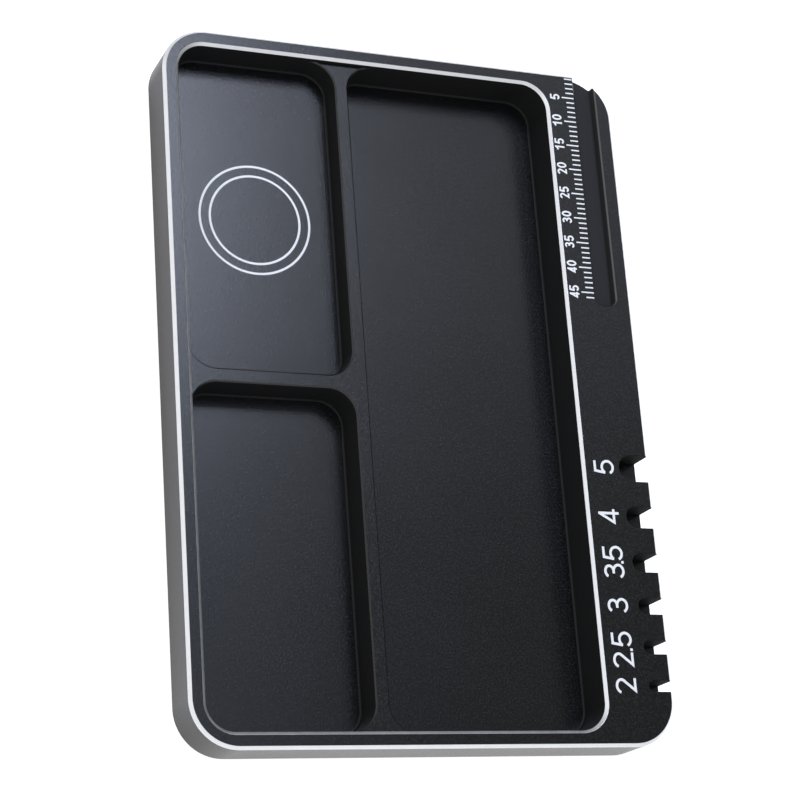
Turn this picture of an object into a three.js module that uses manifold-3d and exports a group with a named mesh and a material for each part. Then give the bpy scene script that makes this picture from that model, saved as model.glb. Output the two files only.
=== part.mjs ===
// Magnetic screw tray: one block milled from black anodised aluminium plate, with three compartments,
// a groove for measuring screws, a row of gauge notches, a disc magnet and four rubber feet.
// Millimetres, +Z up, +Y towards the far end. The origin is on the table under the middle of the tray.

import * as THREE from 'three';
import { mergeVertices } from 'three/addons/utils/BufferGeometryUtils.js';
import Module from 'manifold-3d';

// Tray block
const TRAY_WIDTH = 90;
const TRAY_LENGTH = 130;
const TRAY_HEIGHT = 10;
const CORNER_RADIUS = 8.5;
const EDGE_CHAMFER = 0.6;

// Rim on three sides and the broad gauge strip on the right
const RIM_WALL = 3;
const STRIP_WIDTH = 13.8;
const RIM_CHAMFER = 0.55;

// Compartments: two in the left column, one long one beside them
const POCKET_RADIUS = 5;
const FLOOR_FILLET = 0.4;
const FLOOR_THICKNESS = 1.7;
const LEFT_COLUMN_WIDTH = 30.3;
const NEAR_BAY_LENGTH = 60.6;
const DIVIDER_WALL = 2.5;
const DIVIDER_DROP = 1.45;
const DIVIDER_CHAMFER = 0.25;

// Ruler groove: a flat channel beside the outer wall, open at the far end
const GROOVE_LENGTH = 47.25;
const GROOVE_WIDTH = 4.35;
const GROOVE_DEPTH = 2.2;
const GROOVE_OUTER_WALL = 3.2;
const GROOVE_END_RADIUS = 1.5;
const GROOVE_CHAMFER = 0.25;

// Gauge notches in the right edge, narrowest first from the near end
const NOTCH_WIDTHS = [2, 2.5, 3, 3.5, 4, 5];
const NOTCH_STRAIGHT = 3.85;
const NOTCH_DEPTH = 5.5;
const NOTCH_LAND = 4.75;
const NOTCH_END_MARGIN = 9.75;

// Magnet under the far bay, held by a disc glued flush into the underside
const MAGNET_DIAMETER = 20;
const MAGNET_THICKNESS = 2;
const MAGNET_EDGE = 0.2;
const MAGNET_SKIN = 0.9;
const COVER_DIAMETER = 23;
const COVER_THICKNESS = 0.5;
const SEAT_CLEARANCE = 0.3;

// Rubber feet, part sunk into round recesses
const FOOT_DIAMETER = 9;
const FOOT_THICKNESS = 1;
const FOOT_EDGE = 0.25;
const FOOT_RECESS = 0.5;
const FOOT_INSET = 10;

// Facets and cutter overshoot
const ARC_SEGMENTS = 12;
const FILLET_SEGMENTS = 3;
const ROUND_SEGMENTS = 48;
const OVERSHOOT = 1;

// Heights and edges that follow from the sizes above
const trayBottom = FOOT_THICKNESS - FOOT_RECESS;
const trayTop = trayBottom + TRAY_HEIGHT;
const dividerTop = trayTop - DIVIDER_DROP;
const bayFloor = trayBottom + FLOOR_THICKNESS;
const coverTop = trayBottom + COVER_THICKNESS;
const magnetTop = coverTop + MAGNET_THICKNESS;
const magnetBayFloor = magnetTop + MAGNET_SKIN;
const rightFace = TRAY_WIDTH / 2;
const farFace = TRAY_LENGTH / 2;
const nearFace = -farFace;

const wellLeft = -rightFace + RIM_WALL;
const wellRight = rightFace - STRIP_WIDTH;
const wellNear = nearFace + RIM_WALL;
const wellFar = farFace - RIM_WALL;
const leftColumnRight = wellLeft + LEFT_COLUMN_WIDTH;
const longBayLeft = leftColumnRight + DIVIDER_WALL;
const nearBayFar = wellNear + NEAR_BAY_LENGTH;
const farBayNear = nearBayFar + DIVIDER_WALL;
const magnetX = (wellLeft + leftColumnRight) / 2;
const magnetY = (farBayNear + wellFar) / 2;

const wasm = await Module();
wasm.setup();

// Closed solid of a three.js geometry, with seams welded and flat pole triangles dropped
function solid(geometry) {
  const bare = geometry.clone();
  bare.deleteAttribute('normal');
  bare.deleteAttribute('uv');
  const welded = mergeVertices(bare);
  const corners = welded.index.array;
  const triangles = [];
  for (let i = 0; i < corners.length; i += 3) {
    const [a, b, c] = [corners[i], corners[i + 1], corners[i + 2]];
    if (a !== b && b !== c && c !== a) triangles.push(a, b, c);
  }
  return new wasm.Manifold(new wasm.Mesh({
    numProp: 3,
    vertProperties: Float32Array.from(welded.attributes.position.array),
    triVerts: Uint32Array.from(triangles),
  }));
}

function namedMesh(name, body, material) {
  const result = body.getMesh();
  const geometry = new THREE.BufferGeometry();
  geometry.setAttribute('position', new THREE.BufferAttribute(result.vertProperties, 3));
  geometry.setIndex(new THREE.BufferAttribute(result.triVerts, 1));
  geometry.computeVertexNormals();
  const mesh = new THREE.Mesh(geometry, material);
  mesh.name = name;
  return mesh;
}

// Rectangle between two corners, with rounded corners
function roundedRectangle(left, near, right, far, radius) {
  const outline = new THREE.Shape();
  outline.absarc(right - radius, far - radius, radius, 0, Math.PI / 2);
  outline.absarc(left + radius, far - radius, radius, Math.PI / 2, Math.PI);
  outline.absarc(left + radius, near + radius, radius, Math.PI, Math.PI * 1.5);
  outline.absarc(right - radius, near + radius, radius, Math.PI * 1.5, Math.PI * 2);
  return outline;
}

function prism(outline, bottom, top) {
  const options = { depth: top - bottom, bevelEnabled: false, curveSegments: ARC_SEGMENTS };
  return solid(new THREE.ExtrudeGeometry(outline, options).translate(0, 0, bottom));
}

// Prism whose edges are cut back by `size` at both ends: one segment gives a chamfer, more a round
function edgedPrism(outline, bottom, top, size, segments) {
  const options = {
    depth: top - bottom - 2 * size,
    bevelThickness: size,
    bevelSize: size,
    bevelOffset: -size,
    bevelSegments: segments,
    curveSegments: ARC_SEGMENTS,
  };
  return solid(new THREE.ExtrudeGeometry(outline, options).translate(0, 0, bottom + size));
}

// Cutter that widens an opening by `size` up to the height `top`
function flare(outline, top, size) {
  const options = {
    depth: OVERSHOOT,
    bevelThickness: size,
    bevelSize: size,
    bevelOffset: 0,
    bevelSegments: 1,
    curveSegments: ARC_SEGMENTS,
  };
  return solid(new THREE.ExtrudeGeometry(outline, options).translate(0, 0, top));
}

// Round disc on the Z axis, with its lower edge cut by `edge`
function disc(diameter, bottom, top, edge = 0) {
  const radius = diameter / 2;
  const profile = [new THREE.Vector2(0, bottom), new THREE.Vector2(radius - edge, bottom)];
  if (edge > 0) profile.push(new THREE.Vector2(radius, bottom + edge));
  profile.push(new THREE.Vector2(radius, top), new THREE.Vector2(0, top));
  return solid(new THREE.LatheGeometry(profile, ROUND_SEGMENTS).rotateX(Math.PI / 2));
}

// Compartments: a shallow well down to the dividers' tops, and three bays with filleted floors
const wellOutline = roundedRectangle(wellLeft, wellNear, wellRight, wellFar, POCKET_RADIUS);

function wellCutter() {
  return prism(wellOutline, dividerTop, trayTop + OVERSHOOT).add(flare(wellOutline, trayTop, RIM_CHAMFER));
}

// The bay's own mouth is widened only within the well, so that the rim's wall stays whole
function bayCutter(left, near, right, far, floor) {
  const outline = roundedRectangle(left, near, right, far, POCKET_RADIUS);
  const well = prism(wellOutline, floor, trayTop + OVERSHOOT);
  const mouth = flare(outline, dividerTop, DIVIDER_CHAMFER).intersect(well);
  return edgedPrism(outline, floor, trayTop + OVERSHOOT, FLOOR_FILLET, FILLET_SEGMENTS).add(mouth);
}

// Ruler groove: a channel with a rounded near end, run out past the far face
function grooveCutter() {
  const right = rightFace - GROOVE_OUTER_WALL;
  const near = farFace - GROOVE_LENGTH;
  const beyond = farFace + CORNER_RADIUS;
  const outline = roundedRectangle(right - GROOVE_WIDTH, near, right, beyond, GROOVE_END_RADIUS);
  const floor = trayTop - GROOVE_DEPTH;
  const channel = edgedPrism(outline, floor, trayTop + OVERSHOOT, FLOOR_FILLET, FILLET_SEGMENTS);
  return channel.add(flare(outline, trayTop, GROOVE_CHAMFER));
}

// Gauge notches: blind slots with round inner ends, a constant land apart
function notchCutters() {
  const cutters = [];
  let edge = nearFace + NOTCH_END_MARGIN;
  for (const width of NOTCH_WIDTHS) {
    const middle = edge + width / 2;
    const roundX = rightFace - NOTCH_STRAIGHT;
    const slot = new THREE.Shape();
    slot.moveTo(rightFace + OVERSHOOT, edge + width);
    slot.lineTo(roundX, edge + width);
    slot.absarc(roundX, middle, width / 2, Math.PI / 2, Math.PI * 1.5);
    slot.lineTo(rightFace + OVERSHOOT, edge);
    cutters.push(prism(slot, trayTop - NOTCH_DEPTH, trayTop + OVERSHOOT));
    edge += width + NOTCH_LAND;
  }
  return cutters;
}

// Underside: the stepped magnet pocket
function magnetPocketCutter() {
  const counterbore = disc(COVER_DIAMETER + 2 * SEAT_CLEARANCE, trayBottom - OVERSHOOT, coverTop);
  const pocket = disc(MAGNET_DIAMETER + 2 * SEAT_CLEARANCE, trayBottom, magnetTop);
  return counterbore.add(pocket).translate([magnetX, magnetY, 0]);
}

// Where the feet sit, by corner
const footX = rightFace - FOOT_INSET;
const footY = farFace - FOOT_INSET;
const FEET = {
  foot_near_left: [-footX, -footY],
  foot_near_right: [footX, -footY],
  foot_far_left: [-footX, footY],
  foot_far_right: [footX, footY],
};

function trayBody() {
  const outline = roundedRectangle(-rightFace, nearFace, rightFace, farFace, CORNER_RADIUS);
  const cutters = [
    wellCutter(),
    bayCutter(wellLeft, farBayNear, leftColumnRight, wellFar, magnetBayFloor),
    bayCutter(wellLeft, wellNear, leftColumnRight, nearBayFar, bayFloor),
    bayCutter(longBayLeft, wellNear, wellRight, wellFar, bayFloor),
    grooveCutter(),
    ...notchCutters(),
    magnetPocketCutter(),
  ];
  const recess = disc(FOOT_DIAMETER + 2 * SEAT_CLEARANCE, trayBottom - OVERSHOOT, FOOT_THICKNESS);
  for (const [x, y] of Object.values(FEET)) {
    cutters.push(recess.translate([x, y, 0]));
  }
  let body = edgedPrism(outline, trayBottom, trayTop, EDGE_CHAMFER, 1);
  for (const cutter of cutters) body = body.subtract(cutter);
  return body;
}

const anodised = new THREE.MeshStandardMaterial({ color: 0x2c2e32, roughness: 0.5, metalness: 0.6 });
const nickel = new THREE.MeshStandardMaterial({ color: 0xb9bbbd, roughness: 0.25, metalness: 1 });
const rubber = new THREE.MeshStandardMaterial({ color: 0x1b1b1c, roughness: 0.9, metalness: 0 });

const tray = new THREE.Group();
tray.add(namedMesh('tray_body', trayBody(), anodised));

const magnet = disc(MAGNET_DIAMETER, coverTop, magnetTop, MAGNET_EDGE);
const magnetMesh = namedMesh('magnet_disc', magnet, nickel);
const coverMesh = namedMesh('magnet_cover', disc(COVER_DIAMETER, trayBottom, coverTop), anodised);
for (const mesh of [magnetMesh, coverMesh]) {
  mesh.position.set(magnetX, magnetY, 0);
  tray.add(mesh);
}

for (const [name, [x, y]] of Object.entries(FEET)) {
  const foot = namedMesh(name, disc(FOOT_DIAMETER, 0, FOOT_THICKNESS, FOOT_EDGE), rubber);
  foot.position.set(x, y, 0);
  tray.add(foot);
}

export default tray;
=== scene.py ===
"""Magnetic screw tray: a block of black anodised aluminium with three compartments, a ruler groove,
gauge notches, white laser marks, a hidden disc magnet and four rubber feet. Metres, +Z up."""

import math

import bmesh
import bpy
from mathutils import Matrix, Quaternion, Vector
from mathutils.geometry import delaunay_2d_cdt


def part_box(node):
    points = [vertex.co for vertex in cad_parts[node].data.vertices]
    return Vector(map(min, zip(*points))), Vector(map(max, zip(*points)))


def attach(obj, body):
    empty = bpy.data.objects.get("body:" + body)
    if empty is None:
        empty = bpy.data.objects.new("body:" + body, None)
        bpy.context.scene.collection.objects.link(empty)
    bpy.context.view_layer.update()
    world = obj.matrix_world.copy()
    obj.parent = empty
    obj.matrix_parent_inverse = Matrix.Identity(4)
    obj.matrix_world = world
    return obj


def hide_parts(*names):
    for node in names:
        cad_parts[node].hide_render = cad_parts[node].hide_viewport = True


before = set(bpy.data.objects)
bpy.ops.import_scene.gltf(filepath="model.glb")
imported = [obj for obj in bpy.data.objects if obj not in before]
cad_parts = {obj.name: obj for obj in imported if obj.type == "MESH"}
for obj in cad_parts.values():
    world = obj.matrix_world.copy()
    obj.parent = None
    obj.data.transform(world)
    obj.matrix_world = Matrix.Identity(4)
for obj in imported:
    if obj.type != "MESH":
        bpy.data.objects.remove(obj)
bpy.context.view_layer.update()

# Tray body: one block milled from aluminium plate, bead blasted and dyed black by anodising.
# The rim's inner and outer edges are cut again after the dye, so their chamfers are bright bare metal.
# The groove and compartment walls are toned lighter as painted light, the notches darker as painted
# shade, and the groove's lip holds a painted highlight.
MM = 0.001
SKIN = 0.02 * MM
EDGE_ROUND = 0.09 * MM
EDGE_ROUND_STEPS = 2
SHARP_EDGE = math.radians(40)
FLAT_JOIN = math.radians(0.3)
WELD = 1e-4 * MM
CHAMFER_BAND = 0.62 * MM
BRIGHT_CHAMFER = 0.45 * MM
CHAMFER_SLOPE = (0.6, 0.8)
UPRIGHT = 0.1
FLAT = 0.98
FLOOR_LEAST = 1.0 * MM
FILLET_MOST = 5.0 * MM
DYE = (0.97, 0.99, 1.05)
DYE_DARK = 0.0010
DYE_PALE = 0.018
DYE_CLOUD = 22 * MM
BLAST_GRAIN = 0.32 * MM
BLAST_DEPTH = 0.016 * MM
BLAST_SPECKLE = (0.46, 0.74)
CHATTER_SCALE = 6000.0
CHATTER_STRETCH = (1.0, 1.0, 0.04)
CHATTER_DEPTH = 0.01 * MM
BARE_METAL = (0.975, 0.99, 1.02)
CUT_LINE_SCALE = 4200.0
CUT_LINE_DEPTH = 0.006 * MM
CUT_PATCH = 1.6 * MM


class Shade:
    """A socket in a material's nodes. Arithmetic on it adds Math nodes, and node() adds any other."""

    def __init__(self, tree, socket=None):
        self.tree = tree
        self.socket = socket

    def node(self, kind, settings, inputs, output=0):
        """One output of a new node with those settings and inputs."""
        made = self.tree.nodes.new(kind)
        for name, value in settings.items():
            setattr(made, name, value)
        for name, value in inputs.items():
            if isinstance(value, Shade):
                self.tree.links.new(value.socket, made.inputs[name])
            else:
                made.inputs[name].default_value = value
        return Shade(self.tree, made.outputs[output])

    def maths(self, operation, first, second):
        return self.node("ShaderNodeMath", {"operation": operation}, {0: first, 1: second})

    def __add__(self, other):
        return self.maths("ADD", self, other)

    def __sub__(self, other):
        return self.maths("SUBTRACT", self, other)

    def __mul__(self, other):
        return self.maths("MULTIPLY", self, other)

    __radd__ = __add__
    __rmul__ = __mul__

    def place(self):
        """Place in the piece's own coordinates, in metres."""
        return self.node("ShaderNodeTexCoord", {}, {}, "Object")

    def noise(self, size, detail=2.0):
        """Noise from 0 to 1 over the piece's own coordinates, with grains of about `size` metres."""
        inputs = {"Vector": self.place(), "Scale": 1 / size, "Detail": detail}
        return self.node("ShaderNodeTexNoise", {"noise_dimensions": "3D"}, inputs)

    def along(self, place, way):
        """How far a place lies along a direction."""
        settings = {"operation": "DOT_PRODUCT"}
        return self.node("ShaderNodeVectorMath", settings, {0: place, 1: way}, "Value")

    def ramp(self, value, ends, easing="SMOOTHSTEP"):
        """Share from 0 to 1 as a value goes from the first end to the second."""
        inputs = {"Value": value, "From Min": ends[0], "From Max": ends[1]}
        return self.node("ShaderNodeMapRange", {"interpolation_type": easing}, inputs)

    def blend(self, share, first, second):
        """Colour between two colours."""
        settings = {"data_type": "RGBA"}
        return self.node("ShaderNodeMix", settings, {"Factor": share, "A": first, "B": second}, 2)

    def bump(self, height, strength, depth):
        """Normal that follows a height of 0 to 1 over `depth` metres."""
        inputs = {"Height": height, "Strength": strength, "Distance": depth}
        return self.node("ShaderNodeBump", {}, inputs)

    def feed(self, **sockets):
        """Sets or links sockets of the material's shader, by their names with _ for spaces."""
        shader = self.tree.nodes["Principled BSDF"]
        for name, value in sockets.items():
            target = shader.inputs[name.replace("_", " ")]
            if isinstance(value, Shade):
                self.tree.links.new(value.socket, target)
            else:
                target.default_value = value


def finish_named(name):
    """A new material and the start of its nodes."""
    material = bpy.data.materials.new(name)
    material.use_nodes = True
    return material, Shade(material.node_tree)


def tinted(cast, tone):
    """Colour of that cast and tone."""
    red, green, blue = cast
    return (red * tone, green * tone, blue * tone, 1)


def anodised_black(name, index):
    """Dyed oxide over bead-blasted aluminium: near black, satin, with a fine even grain."""
    material, shade = finish_named(name)
    grain = shade.noise(BLAST_GRAIN, 3.0)
    cloud = shade.noise(DYE_CLOUD)
    speckle = shade.ramp(grain, BLAST_SPECKLE, "LINEAR")
    shade.feed(
        Base_Color=shade.blend(speckle, tinted(DYE, DYE_DARK), tinted(DYE, DYE_PALE)),
        Roughness=0.24 + 0.13 * (grain - 0.5) + 0.05 * (cloud - 0.5),
        IOR=index,
        Normal=shade.bump(grain, 1.0, BLAST_DEPTH),
    )
    return material


def dull_black(name, tone, index, roughness):
    """The dye's cast over coarser faces a thin cutter leaves, marks upright, at a tone per use that
    paints light or shade.
    """
    material, shade = finish_named(name)
    stretch = {0: shade.place(), 1: CHATTER_STRETCH}
    upright = shade.node("ShaderNodeVectorMath", {"operation": "MULTIPLY"}, stretch)
    marks = {"Vector": upright, "Scale": CHATTER_SCALE, "Detail": 2.0}
    chatter = shade.node("ShaderNodeTexNoise", {}, marks)
    shade.feed(
        Base_Color=shade.blend(chatter, tinted(DYE, 0.7 * tone), tinted(DYE, 1.3 * tone)),
        Roughness=roughness + 0.16 * (chatter - 0.5),
        IOR=index,
        Normal=shade.bump(chatter, 0.3, CHATTER_DEPTH),
    )
    return material


def bright_cut(name, tone):
    """Bare aluminium turned bright by the cutter, with fine lines along the edge; at a low tone it
    stands for a painted highlight.
    """
    material, shade = finish_named(name)
    marks = {"Vector": shade.place(), "Scale": CUT_LINE_SCALE, "Distortion": 1.5, "Detail": 1.0}
    lines = shade.node("ShaderNodeTexWave", {"bands_direction": "Z"}, marks, "Fac")
    patch = shade.noise(CUT_PATCH, 3.0)
    dark, pale = tinted(BARE_METAL, 0.94 * tone), tinted(BARE_METAL, 1.06 * tone)
    shade.feed(
        Base_Color=shade.blend(patch, dark, pale),
        Metallic=1.0,
        Roughness=0.34 + 0.12 * patch,
        Normal=shade.bump(lines, 0.12, CUT_LINE_DEPTH),
    )
    return material


def as_piece(name, mesh, materials):
    """A piece of the tray, with its finish, that rides on the one body."""
    piece = bpy.data.objects.new(name, mesh)
    bpy.context.scene.collection.objects.link(piece)
    for material in materials:
        mesh.materials.append(material)
    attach(piece, "root")
    return piece


def smooth_mesh(name, work):
    """A mesh whose round faces shade smoothly into the flat ones beside them, which stay flat."""
    work.normal_update()
    normals = []
    for face in work.faces:
        face.smooth = True
        for loop in face.loops:
            total = Vector()
            for near in loop.vert.link_faces:
                if near.normal.angle(face.normal, 0) < SHARP_EDGE:
                    total += near.normal * (near.calc_area() / MM**2) ** 2
            normals.append(total.normalized())
    mesh = bpy.data.meshes.new(name)
    work.to_mesh(mesh)
    mesh.normals_split_custom_set(normals)
    work.free()
    return mesh


tray_low, tray_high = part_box("tray_body")
rim_top = tray_high.z - SKIN
NOTCH_LEFT = tray_high.x - 6.6 * MM
NOTCH_NEAR = tray_low.y + 9.0 * MM
NOTCH_FAR = tray_low.y + 54.5 * MM
GROOVE_LEFT = tray_high.x - 8.0 * MM
GROOVE_RIGHT = tray_high.x - 2.4 * MM
GROOVE_NEAR = tray_high.y - 48.0 * MM
GROOVE_FAR = tray_high.y - 0.1 * MM


def finish_of(face):
    """Name of the finish on a face of the block, by the cutter that left it and the painted light or
    shade it carries.
    """
    middle = face.calc_center_median()
    lowest = min(corner.co.z for corner in face.verts)
    highest = max(corner.co.z for corner in face.verts)
    at_rim = highest > rim_top - SKIN
    upright = abs(face.normal.z) < UPRIGHT
    slanted = CHAMFER_SLOPE[0] < face.normal.z < CHAMFER_SLOPE[1]
    in_groove = GROOVE_LEFT < middle.x < GROOVE_RIGHT and GROOVE_NEAR < middle.y < GROOVE_FAR
    in_notch = NOTCH_LEFT < middle.x < tray_high.x and NOTCH_NEAR < middle.y < NOTCH_FAR
    if slanted and at_rim and highest - lowest > BRIGHT_CHAMFER:
        return "bright_edge"
    if in_groove and lowest < rim_top - SKIN:
        return "groove_lip" if slanted and at_rim else "groove"
    if lowest < tray_low.z + FLOOR_LEAST:
        return "side" if upright else "face"
    if abs(face.normal.z) > FLAT:
        return "face"
    if in_notch:
        return "notch"
    return "wall" if upright or highest < tray_low.z + FILLET_MOST else "face"


def tray_mesh():
    """The milled block with its edges broken, its top a skin's depth low to leave room for the marks."""
    work = bmesh.new()
    work.from_mesh(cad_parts["tray_body"].data)
    bmesh.ops.remove_doubles(work, verts=work.verts, dist=WELD)
    bmesh.ops.dissolve_limit(work, angle_limit=FLAT_JOIN, verts=work.verts, edges=work.edges)
    for vertex in work.verts:
        vertex.co.z = min(vertex.co.z, rim_top)
    work.normal_update()
    for face in work.faces:
        face.material_index = list(tray_finishes).index(finish_of(face))
    sharp = []
    for edge in work.edges:
        ends = [end.co for end in edge.verts]
        high = min(end.z for end in ends) > tray_high.z - CHAMFER_BAND
        beside_groove = any(GROOVE_LEFT < end.x < GROOVE_RIGHT and end.y > GROOVE_NEAR for end in ends)
        if high and edge.is_convex and edge.calc_face_angle(0) > SHARP_EDGE and not beside_groove:
            sharp.append(edge)
    bmesh.ops.bevel(
        work,
        geom=sharp,
        offset=EDGE_ROUND,
        offset_type="OFFSET",
        segments=EDGE_ROUND_STEPS,
        profile=0.5,
        affect="EDGES",
        clamp_overlap=False,
        material=-1,
    )
    return smooth_mesh("tray", work)


tray_finishes = {
    "face": anodised_black("black_anodising", 1.5),
    "side": anodised_black("side_black", 1.37),
    "bright_edge": bright_cut("bright_cut", 0.85),
    # Groove: toned far lighter than the dye, as painted light on its floor and wall.
    "groove": dull_black("groove_painted_light", 0.034, 1.25, 0.8),
    # Groove lip: a dim metal that paints a highlight along the lip's edge.
    "groove_lip": bright_cut("lip_painted_highlight", 0.11),
    # Notches: toned darker than the dye, as painted shade in their recesses.
    "notch": dull_black("notch_painted_shade", 0.004, 1.25, 0.8),
    # Compartment walls and fillets: rougher, and toned a little lighter than the faces as painted light
    # from the front.
    "wall": dull_black("wall_painted_light", 0.0125, 1.28, 0.5),
}
tray = as_piece("tray", tray_mesh(), tray_finishes.values())
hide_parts("tray_body")

# Disc magnet: sintered and nickel plated, pressed into a blind pocket from below under the far left
# compartment, with a thin turned disc glued over it, flush with the underside.
TURNED_STEPS = 96
EDGE_STEPS = 4
DISC_EDGE = 0.12 * MM
NICKEL_TONES = ((0.60, 0.58, 0.54, 1), (0.68, 0.66, 0.62, 1))
NICKEL_SMEAR = 3 * MM
LID_TONES = ((0.0095, 0.0098, 0.0108, 1), (0.0130, 0.0134, 0.0150, 1))
LID_MOTTLE = 0.8 * MM
TURNING_SCALE = 1200.0
TURNING_DEPTH = 0.02 * MM


def turned_disc(name, node, edge):
    """A disc in a CAD disc's place, turned from a section with rounded edges, about its own middle."""
    low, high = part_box(node)
    middle = (low + high) / 2
    radius = (high.x - low.x) / 2
    half = (high.z - low.z) / 2
    quarter = [math.radians(90 * step / EDGE_STEPS) for step in range(EDGE_STEPS + 1)]
    section = [(0.0, -half)]
    section += [(radius - edge + edge * math.sin(a), -half + edge - edge * math.cos(a)) for a in quarter]
    section += [(radius - edge + edge * math.cos(a), half - edge + edge * math.sin(a)) for a in quarter]
    section.append((0.0, half))
    turns = [2 * math.pi * step / TURNED_STEPS for step in range(TURNED_STEPS)]
    work = bmesh.new()
    rings = []
    for r, z in section:
        if r == 0:
            rings.append([work.verts.new((0, 0, z))])
        else:
            rings.append([work.verts.new((r * math.cos(a), r * math.sin(a), z)) for a in turns])
    for below, above in zip(rings, rings[1:]):
        for step in range(TURNED_STEPS):
            following = (step + 1) % TURNED_STEPS
            corners = [below[step % len(below)], below[following % len(below)]]
            corners += [above[following % len(above)], above[step % len(above)]]
            work.faces.new(list(dict.fromkeys(corners)))
    return smooth_mesh(name, work), middle


def place_disc(name, node, edge, material):
    """A turned disc that stands for a CAD disc."""
    mesh, middle = turned_disc(name, node, edge)
    disc = as_piece(name, mesh, [material])
    disc.location = middle
    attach(disc, "root")
    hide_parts(node)


def nickel_plate():
    """Bright nickel, slightly warm, with faint smears."""
    material, shade = finish_named("bright_nickel")
    smear = shade.noise(NICKEL_SMEAR, 4.0)
    shade.feed(
        Base_Color=shade.blend(smear, *NICKEL_TONES),
        Metallic=1.0,
        Roughness=0.14 + 0.14 * smear,
    )
    return material


def turned_black():
    """The same black as the tray over fine turning rings."""
    material, shade = finish_named("turned_black")
    turning = {"wave_type": "RINGS", "rings_direction": "Z"}
    marks = {"Vector": shade.place(), "Scale": TURNING_SCALE, "Distortion": 0.4}
    rings = shade.node("ShaderNodeTexWave", turning, marks, "Fac")
    mottle = shade.noise(LID_MOTTLE, 3.0)
    shade.feed(
        Base_Color=shade.blend(mottle, *LID_TONES),
        Roughness=0.28 + 0.10 * mottle,
        Normal=shade.bump(rings, 0.25, TURNING_DEPTH),
    )
    return material


place_disc("magnet", "magnet_disc", DISC_EDGE, nickel_plate())
place_disc("magnet_lid", "magnet_cover", DISC_EDGE, turned_black())

# Feet: four die-cut rubber discs, stuck into shallow round recesses under the corners.
# The rubber is matt black, with a slightly grained sole.
FOOT_EDGE = 0.3 * MM
RUBBER_TONES = ((0.012, 0.012, 0.013, 1), (0.030, 0.030, 0.031, 1))
RUBBER_DUST = 1.4 * MM
RUBBER_GRAIN = 0.14 * MM
RUBBER_DEPTH = 0.03 * MM


def foot_rubber():
    """Matt black rubber with a fine moulded grain."""
    material, shade = finish_named("black_rubber")
    grain = shade.noise(RUBBER_GRAIN, 3.0)
    dust = shade.noise(RUBBER_DUST, 4.0)
    shade.feed(
        Base_Color=shade.blend(dust, *RUBBER_TONES),
        Roughness=0.74 + 0.16 * dust,
        Normal=shade.bump(grain, 0.5, RUBBER_DEPTH),
    )
    return material


rubber = foot_rubber()
for corner in ("near_left", "near_right", "far_left", "far_right"):
    place_disc("rubber_foot_" + corner, "foot_" + corner, FOOT_EDGE, rubber)

# Ruler lines: white laser marks on the strip up to the groove's lip, one for each millimetre from the
# far end. The laser burns the dye to white, so the marks stand only a skin's depth on the face.
LINE_COUNT = 46
LINE_SPACING = 1.0 * MM
LINE_WIDTH = 0.26 * MM
LINE_RIGHT = tray_high.x - 7.85 * MM
SHORT_LINE = 1.65 * MM
LONG_LINE = 2.55 * MM
LONG_EVERY = 5
MARK_DEPTH = 0.05 * MM
MARK_TONES = ((0.82, 0.83, 0.84, 1), (0.96, 0.965, 0.97, 1))
MARK_SPECKLE = 0.09 * MM
ONLY_INSIDE = 1
JOIN_WITHIN = 1e-5


def laser_white():
    """White laser marking: matt, with a fine burnt speckle."""
    material, shade = finish_named("laser_white")
    speckle = shade.noise(MARK_SPECKLE, 3.0)
    shade.feed(Base_Color=shade.blend(speckle, *MARK_TONES), Roughness=0.52 + 0.2 * speckle)
    return material


def mark(name, shapes, top):
    """White marks from flat four-sided shapes, joined where they overlap, as solids below `top`."""
    corners = [Vector(corner) / MM for shape in shapes for corner in shape]
    loops = [list(range(first, first + 4)) for first in range(0, len(corners), 4)]
    joined = delaunay_2d_cdt(corners, [], loops, ONLY_INSIDE, JOIN_WITHIN)
    points, _, triangles, _, _, sources = joined
    work = bmesh.new()
    upper = [work.verts.new((point.x * MM, point.y * MM, top)) for point in points]
    kept = [triangle for triangle, source in zip(triangles, sources) if source]
    faces = [work.faces.new([upper[i] for i in triangle]) for triangle in kept]
    lower = bmesh.ops.extrude_face_region(work, geom=faces, use_keep_orig=True)["geom"]
    for vertex in lower:
        if isinstance(vertex, bmesh.types.BMVert):
            vertex.co.z = top - MARK_DEPTH
    bmesh.ops.recalc_face_normals(work, faces=work.faces)
    mesh = bpy.data.meshes.new(name)
    work.to_mesh(mesh)
    work.free()
    as_piece(name, mesh, [white])


white = laser_white()
lines = []
for count in range(1, LINE_COUNT + 1):
    middle = tray_high.y - count * LINE_SPACING
    left = LINE_RIGHT - (LONG_LINE if count % LONG_EVERY == 0 else SHORT_LINE)
    near, far = middle - LINE_WIDTH / 2, middle + LINE_WIDTH / 2
    lines.append([(left, near), (LINE_RIGHT, near), (LINE_RIGHT, far), (left, far)])
mark("ruler_lines", lines, tray_high.z)

# Numerals: the same laser marks, plain upright figures of one stroke width, read from the right side.
# Small bold ones count the ruler in fives, and large ones give each notch's width in millimetres.
BEND_STEPS = 32
RULER_FIGURE = {"width": 1.15 * MM, "height": 2.0 * MM, "stroke": 0.34 * MM}
RULER_GAP = 0.20 * MM
RULER_BASELINE = tray_high.x - 10.90 * MM
GAUGE_FIGURE = {"width": 2.75 * MM, "height": 4.12 * MM, "stroke": 0.48 * MM}
GAUGE_BASELINE = tray_high.x - 7.45 * MM
GAUGE_LABELS = [
    {"text": "2", "middle": -54.25 * MM, "gap": 0},
    {"text": "2.5", "middle": -47.75 * MM, "gap": 0.26 * MM},
    {"text": "3", "middle": -39.75 * MM, "gap": 0},
    {"text": "3.5", "middle": -31.8 * MM, "gap": 0.04 * MM},
    {"text": "4", "middle": -23.3 * MM, "gap": 0},
    {"text": "5", "middle": -14.0 * MM, "gap": 0},
]


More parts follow.
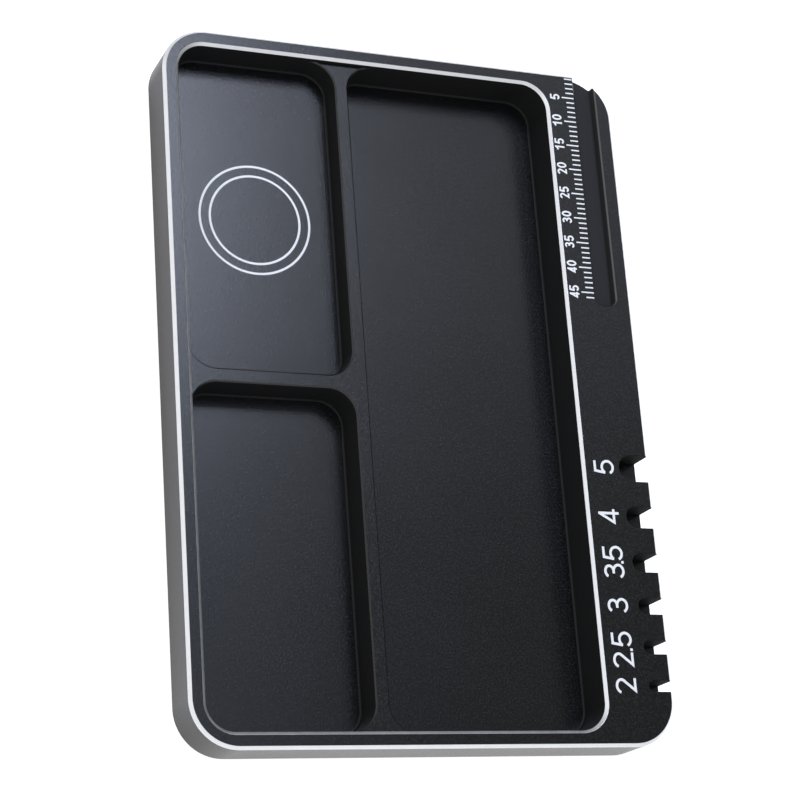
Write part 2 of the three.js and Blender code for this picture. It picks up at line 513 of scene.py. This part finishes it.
def bend(middle, radii, start, end, steps=BEND_STEPS):
    """Points along an ellipse's arc, from one angle in degrees to another."""
    (x, y), (wide, high) = middle, radii
    angles = [math.radians(start + (end - start) * i / steps) for i in range(steps + 1)]
    return [Vector((x + wide * math.cos(a), y + high * math.sin(a))) for a in angles]


def stroke_shapes(path, stroke):
    """Four-sided shapes that make up a stroke with square ends along its middle line."""
    steps = [(after - before).normalized() for before, after in zip(path, path[1:])]
    loop = (path[0] - path[-1]).length < WELD
    arriving = [steps[-1] if loop else steps[0]] + steps
    leaving = steps + [steps[0] if loop else steps[-1]]
    sides = []
    for point, before, after in zip(path, arriving, leaving):
        across = Vector((-before.y - after.y, before.x + after.x)).normalized()
        across *= stroke / 2 / across.dot(Vector((-before.y, before.x)))
        sides.append((point - across, point + across))
    return [(a, c, d, b) for (a, b), (c, d) in zip(sides, sides[1:])]


def figure_paths(figure, width, height, stroke):
    """Middle lines of a figure's strokes in a box of that size, from its lower left corner."""
    half = stroke / 2
    if figure == ".":
        return [[Vector((0, half)), Vector((stroke, half))]]
    if figure == "0":
        return [bend((width / 2, height / 2), (width / 2 - half, height / 2 - half), 90, 450)]
    if figure == "1":
        stem = 0.64 * width
        flag = [Vector((stem, 0.84 * height)), Vector((0.12 * width, 0.68 * height))]
        return [[Vector((stem, 0)), Vector((stem, height))], flag]
    if figure == "2":
        rise = 0.285 * height
        crown = bend((width / 2, height - rise), (width / 2 - half, rise - half), 168, -32)
        return [crown + [Vector((2.3 * half, half)), Vector((width, half))]]
    if figure == "3":
        waist = 0.54 * height
        upper = (height - half - waist) / 2
        lower = (waist - half) / 2
        top = bend((0.49 * width, waist + upper), (0.45 * width - half, upper), 158, -84)
        bottom = bend((0.5 * width, half + lower), (0.5 * width - half, lower), 96, -160)
        return [top, [Vector((0.34 * width, waist))] + bottom]
    if figure == "4":
        stem = 0.72 * width
        bar = 0.25 * height
        slope = [Vector((stem - 0.1 * half, height - half)), Vector((1.2 * half, bar))]
        return [[Vector((stem, 0)), Vector((stem, height))], slope + [Vector((width, bar))]]
    crown = 0.66 * height
    bowl = bend((0.49 * width, crown / 2), (0.51 * width - half, crown / 2 - half), 148, -156)
    flag = [Vector((0.93 * width, height - half)), Vector((0.24 * width, height - half))]
    return [flag + [Vector((0.12 * width, 0.45 * height))], bowl]


def number_shapes(text, middle, gap, baseline, width, height, stroke):
    """Shapes of a number that reads along +Y, with its foot on the baseline at +X."""
    widths = [stroke if figure == "." else width for figure in text]
    start = middle - (sum(widths) + gap * (len(text) - 1)) / 2
    shapes = []
    for figure, wide in zip(text, widths):
        for path in figure_paths(figure, width, height, stroke):
            for shape in stroke_shapes(path, stroke):
                shapes.append([(baseline - corner.y, start + corner.x) for corner in shape])
        start += wide + gap
    return shapes


ruler_figures = []
for count in range(LONG_EVERY, LINE_COUNT, LONG_EVERY):
    place = tray_high.y - count * LINE_SPACING
    ruler_figures += number_shapes(str(count), place, RULER_GAP, RULER_BASELINE, **RULER_FIGURE)
mark("ruler_numerals", ruler_figures, tray_high.z)
gauge_figures = []
for label in GAUGE_LABELS:
    gauge_figures += number_shapes(**label, baseline=GAUGE_BASELINE, **GAUGE_FIGURE)
mark("gauge_numerals", gauge_figures, tray_high.z)

# Magnet mark: two thin rings, lasered on the compartment's floor over the magnet.
# They show where small screws are held; the middle is left bare.
RING_ACROSS = (20.8 * MM, 17.0 * MM)
RING_LINE = 0.42 * MM
RING_STEPS = 120
MAGNET_SKIN = 0.9 * MM
magnet_low, magnet_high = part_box("magnet_disc")
magnet_axis = (magnet_low + magnet_high) / 2
rings = []
for across in RING_ACROSS:
    circle = bend(magnet_axis.xy, (across / 2, across / 2), 0, 360, RING_STEPS)
    rings += stroke_shapes(circle, RING_LINE)
mark("magnet_rings", rings, magnet_high.z + MAGNET_SKIN + SKIN)

# Studio: a white floor without shadows and soft overhead panels, brightest over the far left corner.
# The room is pale at the left and front and dim at the right and overhead.
FLOOR_HALF = 4.0
FLOOR_DROP = 0.02 * MM
PAPER_TONES = ((0.88, 0.88, 0.88, 1), (0.90, 0.90, 0.90, 1))
PAPER_FIBRE = 0.6 * MM
PAPER_SEEN = (0.75, 0.75, 0.75, 1)
GLOW_TONES = ((0.16, 0.13, 0.10, 1), (0.58, 0.57, 0.55, 1))
GLOW_WAY = (0.6, -0.8, 0.0)
GLOW_ENDS = (-0.03, 0.05)
PANEL_HEIGHT = 0.8
PANELS = {
    "key": {"x": (-0.10, 0.212), "y": (0.275, 0.60), "radiance": 12.0, "tint": (0.72, 0.80, 1.0)},
    "over": {"x": (-0.10, 0.24), "y": (-0.50, 0.275), "radiance": 0.94, "tint": (0.64, 0.74, 1.0)},
    "far": {"x": (0.24, 0.90), "y": (0.29, 0.90), "radiance": 0.55, "tint": (0.80, 0.86, 1.0)},
    "left": {"x": (-0.95, -0.12), "y": (-0.30, 0.60), "radiance": 0.8, "tint": (0.96, 0.98, 1.0)},
}
ROOM_TINT = (1.0, 1.0, 1.0, 1)
ROOM_DIM = 0.25
ROOM_PALE = 1.0
ROOM_ROUND = 0.3
ROOM_RISE = (0.78, 0.55)
ROOM_WAY = (-0.75, -0.65, 0.0)
ROOM_SIDE = (-0.35, 0.35)


def pale_floor():
    """Backdrop paper that looks plain white and lights the tray's near side more than its left side."""
    material, shade = finish_named("pale_floor")
    fibre = shade.noise(PAPER_FIBRE, 3.0)
    near = shade.ramp(shade.along(shade.place(), GLOW_WAY), GLOW_ENDS)
    glow = shade.blend(near, *GLOW_TONES)
    seen = shade.node("ShaderNodeLightPath", {}, {}, "Is Camera Ray")
    shade.feed(
        Base_Color=shade.blend(fibre, *PAPER_TONES),
        Roughness=0.9,
        Emission_Color=shade.blend(seen, glow, PAPER_SEEN),
        Emission_Strength=1.0,
    )
    return material


floor_mesh = bpy.data.meshes.new("floor")
ways = [(-1, -1), (1, -1), (1, 1), (-1, 1)]
corners = [(x * FLOOR_HALF, y * FLOOR_HALF, -FLOOR_DROP) for x, y in ways]
floor_mesh.from_pydata(corners, [], [(0, 1, 2, 3)])
floor_mesh.materials.append(pale_floor())
floor = bpy.data.objects.new("floor", floor_mesh)
bpy.context.scene.collection.objects.link(floor)

for name, panel in PANELS.items():
    light = bpy.data.lights.new("panel_" + name, "AREA")
    light.shape = "RECTANGLE"
    light.size = panel["x"][1] - panel["x"][0]
    light.size_y = panel["y"][1] - panel["y"][0]
    light.energy = panel["radiance"] * math.pi * light.size * light.size_y
    light.color = panel["tint"]
    lamp = bpy.data.objects.new("panel_" + name, light)
    lamp.location = (sum(panel["x"]) / 2, sum(panel["y"]) / 2, PANEL_HEIGHT)
    bpy.context.scene.collection.objects.link(lamp)

room = bpy.data.worlds.new("room")
room.use_nodes = True
bpy.context.scene.world = room
air = Shade(room.node_tree)
sight = air.node("ShaderNodeTexCoord", {}, {}, "Generated")
rise = air.node("ShaderNodeSeparateXYZ", {}, {"Vector": sight}, "Z")
low = air.ramp(rise, ROOM_RISE)
side = air.ramp(air.along(sight, ROOM_WAY), ROOM_SIDE)
pale = ROOM_DIM + (ROOM_PALE - ROOM_DIM) * low * (ROOM_ROUND + (1 - ROOM_ROUND) * side)
backdrop = room.node_tree.nodes["Background"]
backdrop.inputs["Color"].default_value = ROOM_TINT
room.node_tree.links.new(pale.socket, backdrop.inputs["Strength"])

# Camera: over the near left corner with a long lens, turned so that the tray's long side is upright.
# Its place and lens were fitted to the photograph's straight edges and ruler lines.
EYE = Vector((-150.68, -120.30, 346.47)) * MM
AIM = Vector((0.69, 0.25, 0.0)) * MM
ROLL = math.radians(50.97)
LENS = 98.05
SENSOR = 36.0
camera_data = bpy.data.cameras.new("camera")
camera_data.lens = LENS
camera_data.sensor_width = SENSOR
camera = bpy.data.objects.new("camera", camera_data)
camera.location = EYE
camera.rotation_mode = "QUATERNION"
camera.rotation_quaternion = (AIM - EYE).to_track_quat("-Z", "Y") @ Quaternion((0, 0, 1), ROLL)
bpy.context.scene.collection.objects.link(camera)
bpy.context.scene.camera = camera
bpy.context.scene.view_settings.view_transform = "Standard"
bpy.context.scene.view_settings.look = "None"
